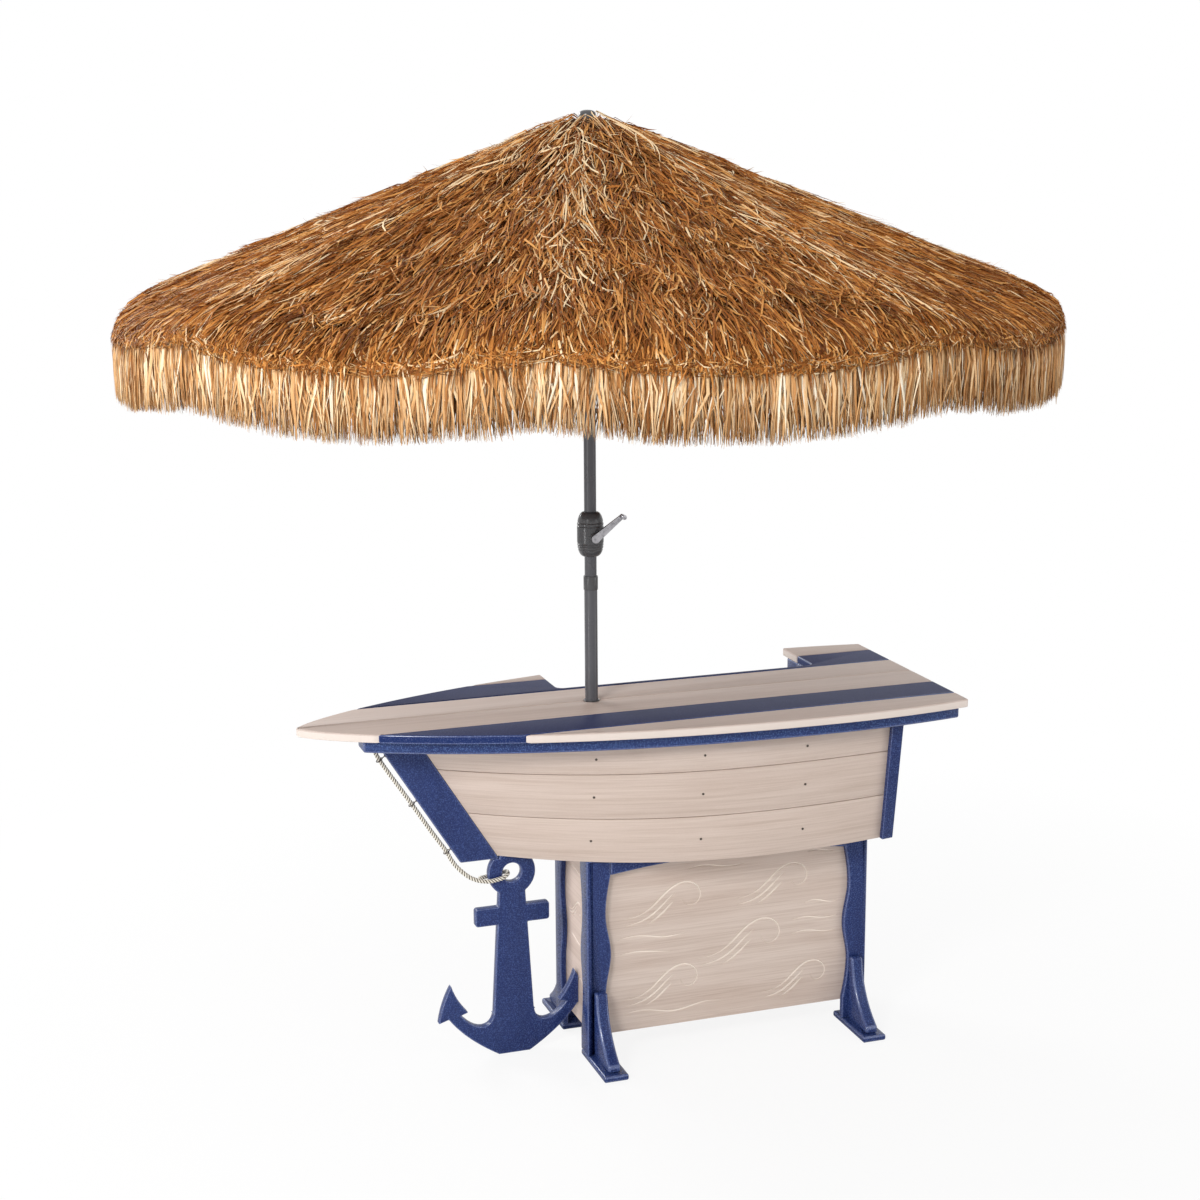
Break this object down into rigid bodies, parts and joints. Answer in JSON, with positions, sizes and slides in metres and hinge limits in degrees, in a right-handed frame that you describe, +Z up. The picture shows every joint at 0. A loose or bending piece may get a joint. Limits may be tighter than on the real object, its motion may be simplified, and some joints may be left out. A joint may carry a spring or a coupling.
{
  "type": "bar table with thatched umbrella",
  "caption": "Boat-shaped serving bar on a boxed stand, with an anchor, a rope and a thatched crank umbrella through its top.",
  "frame": {"origin": "on the floor, at the axis of the umbrella's mast", "axes": "+X from the bow to the stern, -Y towards the guests, +Z up"},
  "size_m": [2.62, 2.62, 2.756],
  "materials": {
    "driftwood_lumber": "matte",
    "navy_lumber": "matte",
    "weathered_lumber": "matte",
    "panel_lumber": "matte",
    "rope": "woven",
    "dark_steel": "satin",
    "grey_paint": "satin",
    "grey_plastic": "satin",
    "chrome": "polished",
    "thatch": "straw"
  },
  "bodies": {
    "bar": {"top_plank_1": "driftwood_lumber", "top_plank_2": "navy_lumber", "top_plank_3": "driftwood_lumber", "top_plank_4": "driftwood_lumber", "top_plank_5": "navy_lumber", "top_plank_6": "driftwood_lumber", "gunwale_front": "navy_lumber", "gunwale_rear": "navy_lumber", "top_battens": "navy_lumber", "hull_plank_1": "weathered_lumber", "hull_plank_2": "weathered_lumber", "hull_plank_3": "weathered_lumber", "rear_planks": "weathered_lumber", "stem_board": "navy_lumber", "stern_posts": "navy_lumber", "hull_frames": "navy_lumber", "hull_floor": "weathered_lumber", "leg_boards": "navy_lumber", "foot_plates": "navy_lumber", "knee_braces": "navy_lumber", "aprons": "navy_lumber", "front_panel": "panel_lumber", "side_panels": "panel_lumber", "cabinet_floor": "weathered_lumber", "anchor": "navy_lumber", "rope": "rope", "fixings": "dark_steel", "mast_guides": "grey_plastic"},
    "mast": {"lower_tube": "grey_paint", "tube_joint": "grey_paint", "upper_tube": "grey_paint", "crank_housing": "grey_plastic", "top_hub": "grey_plastic", "top_cap": "grey_plastic"},
    "crank": {"crank_handle": "chrome"},
    "runner": {"runner": "grey_plastic"},
    "rib_arm_1": {"rib_1": "grey_paint", "thatch_1": "thatch"},
    "stretcher_arm_1": {"stretcher_1": "grey_paint"},
    "rib_arm_2": {"rib_2": "grey_paint", "thatch_2": "thatch"},
    "stretcher_arm_2": {"stretcher_2": "grey_paint"},
    "rib_arm_3": {"rib_3": "grey_paint", "thatch_3": "thatch"},
    "stretcher_arm_3": {"stretcher_3": "grey_paint"},
    "rib_arm_4": {"rib_4": "grey_paint", "thatch_4": "thatch"},
    "stretcher_arm_4": {"stretcher_4": "grey_paint"},
    "rib_arm_5": {"rib_5": "grey_paint", "thatch_5": "thatch"},
    "stretcher_arm_5": {"stretcher_5": "grey_paint"},
    "rib_arm_6": {"rib_6": "grey_paint", "thatch_6": "thatch"},
    "stretcher_arm_6": {"stretcher_6": "grey_paint"},
    "rib_arm_7": {"rib_7": "grey_paint", "thatch_7": "thatch"},
    "stretcher_arm_7": {"stretcher_7": "grey_paint"},
    "rib_arm_8": {"rib_8": "grey_paint", "thatch_8": "thatch"},
    "stretcher_arm_8": {"stretcher_8": "grey_paint"}
  },
  "joints": [
    {"name": "mast_lift", "type": "slide", "parent": "bar", "child": "mast", "axis": [0, 0, 1], "range_m": [0, 0.98]},
    {"name": "runner_slide", "type": "slide", "parent": "mast", "child": "runner", "axis": [0, 0, -1], "range_m": [0, 0.592], "deforming": ["thatch_1", "thatch_2", "thatch_3", "thatch_4", "thatch_5", "thatch_6", "thatch_7", "thatch_8"]},
    {"name": "crank_turn", "type": "hinge", "parent": "mast", "child": "crank", "pos_m": [0, -0.03, 1.557], "axis": [0, 1, 0], "range_deg": [0, 3602]},
    {"name": "rib_hinge_1", "type": "hinge", "parent": "mast", "child": "rib_arm_1", "pos_m": [0.03234, 0.01339, 2.714], "axis": [-0.3827, 0.9239, 0], "range_deg": [0, 60]},
    {"name": "stretcher_hinge_1", "type": "hinge", "parent": "runner", "child": "stretcher_arm_1", "pos_m": [0.02832, 0.0231, 2.29841], "axis": [0.3827, -0.9239, 0], "range_deg": [0, 56]},
    {"name": "rib_hinge_2", "type": "hinge", "parent": "mast", "child": "rib_arm_2", "pos_m": [0.01339, 0.03234, 2.714], "axis": [-0.9239, 0.3827, 0], "range_deg": [0, 60]},
    {"name": "stretcher_hinge_2", "type": "hinge", "parent": "runner", "child": "stretcher_arm_2", "pos_m": [0.00369, 0.03635, 2.29841], "axis": [0.9239, -0.3827, 0], "range_deg": [0, 56]},
    {"name": "rib_hinge_3", "type": "hinge", "parent": "mast", "child": "rib_arm_3", "pos_m": [-0.01339, 0.03234, 2.714], "axis": [-0.9239, -0.3827, 0], "range_deg": [0, 60]},
    {"name": "stretcher_hinge_3", "type": "hinge", "parent": "runner", "child": "stretcher_arm_3", "pos_m": [-0.0231, 0.02832, 2.29841], "axis": [0.9239, 0.3827, 0], "range_deg": [0, 56]},
    {"name": "rib_hinge_4", "type": "hinge", "parent": "mast", "child": "rib_arm_4", "pos_m": [-0.03234, 0.01339, 2.714], "axis": [-0.3827, -0.9239, 0], "range_deg": [0, 60]},
    {"name": "stretcher_hinge_4", "type": "hinge", "parent": "runner", "child": "stretcher_arm_4", "pos_m": [-0.03635, 0.00369, 2.29841], "axis": [0.3827, 0.9239, 0], "range_deg": [0, 56]},
    {"name": "rib_hinge_5", "type": "hinge", "parent": "mast", "child": "rib_arm_5", "pos_m": [-0.03234, -0.01339, 2.714], "axis": [0.3827, -0.9239, 0], "range_deg": [0, 60]},
    {"name": "stretcher_hinge_5", "type": "hinge", "parent": "runner", "child": "stretcher_arm_5", "pos_m": [-0.02832, -0.0231, 2.29841], "axis": [-0.3827, 0.9239, 0], "range_deg": [0, 56]},
    {"name": "rib_hinge_6", "type": "hinge", "parent": "mast", "child": "rib_arm_6", "pos_m": [-0.01339, -0.03234, 2.714], "axis": [0.9239, -0.3827, 0], "range_deg": [0, 60]},
    {"name": "stretcher_hinge_6", "type": "hinge", "parent": "runner", "child": "stretcher_arm_6", "pos_m": [-0.00369, -0.03635, 2.29841], "axis": [-0.9239, 0.3827, 0], "range_deg": [0, 56]},
    {"name": "rib_hinge_7", "type": "hinge", "parent": "mast", "child": "rib_arm_7", "pos_m": [0.01339, -0.03234, 2.714], "axis": [0.9239, 0.3827, 0], "range_deg": [0, 60]},
    {"name": "stretcher_hinge_7", "type": "hinge", "parent": "runner", "child": "stretcher_arm_7", "pos_m": [0.0231, -0.02832, 2.29841], "axis": [-0.9239, -0.3827, 0], "range_deg": [0, 56]},
    {"name": "rib_hinge_8", "type": "hinge", "parent": "mast", "child": "rib_arm_8", "pos_m": [0.03234, -0.01339, 2.714], "axis": [0.3827, 0.9239, 0], "range_deg": [0, 60]},
    {"name": "stretcher_hinge_8", "type": "hinge", "parent": "runner", "child": "stretcher_arm_8", "pos_m": [0.03635, -0.00369, 2.29841], "axis": [-0.3827, -0.9239, 0], "range_deg": [0, 56]}
  ],
  "couplings": [
    {"joint": "crank_turn", "follows": "runner_slide", "rad_per_m": 106.14},
    {"joint": "rib_hinge_1", "follows": "runner_slide", "rad_per_m": 1.7532},
    {"joint": "stretcher_hinge_1", "follows": "runner_slide", "rad_per_m": 1.615},
    {"joint": "rib_hinge_2", "follows": "runner_slide", "rad_per_m": 1.7532},
    {"joint": "stretcher_hinge_2", "follows": "runner_slide", "rad_per_m": 1.615},
    {"joint": "rib_hinge_3", "follows": "runner_slide", "rad_per_m": 1.7532},
    {"joint": "stretcher_hinge_3", "follows": "runner_slide", "rad_per_m": 1.615},
    {"joint": "rib_hinge_4", "follows": "runner_slide", "rad_per_m": 1.7532},
    {"joint": "stretcher_hinge_4", "follows": "runner_slide", "rad_per_m": 1.615},
    {"joint": "rib_hinge_5", "follows": "runner_slide", "rad_per_m": 1.7532},
    {"joint": "stretcher_hinge_5", "follows": "runner_slide", "rad_per_m": 1.615},
    {"joint": "rib_hinge_6", "follows": "runner_slide", "rad_per_m": 1.7532},
    {"joint": "stretcher_hinge_6", "follows": "runner_slide", "rad_per_m": 1.615},
    {"joint": "rib_hinge_7", "follows": "runner_slide", "rad_per_m": 1.7532},
    {"joint": "stretcher_hinge_7", "follows": "runner_slide", "rad_per_m": 1.615},
    {"joint": "rib_hinge_8", "follows": "runner_slide", "rad_per_m": 1.7532},
    {"joint": "stretcher_hinge_8", "follows": "runner_slide", "rad_per_m": 1.615}
  ]
}
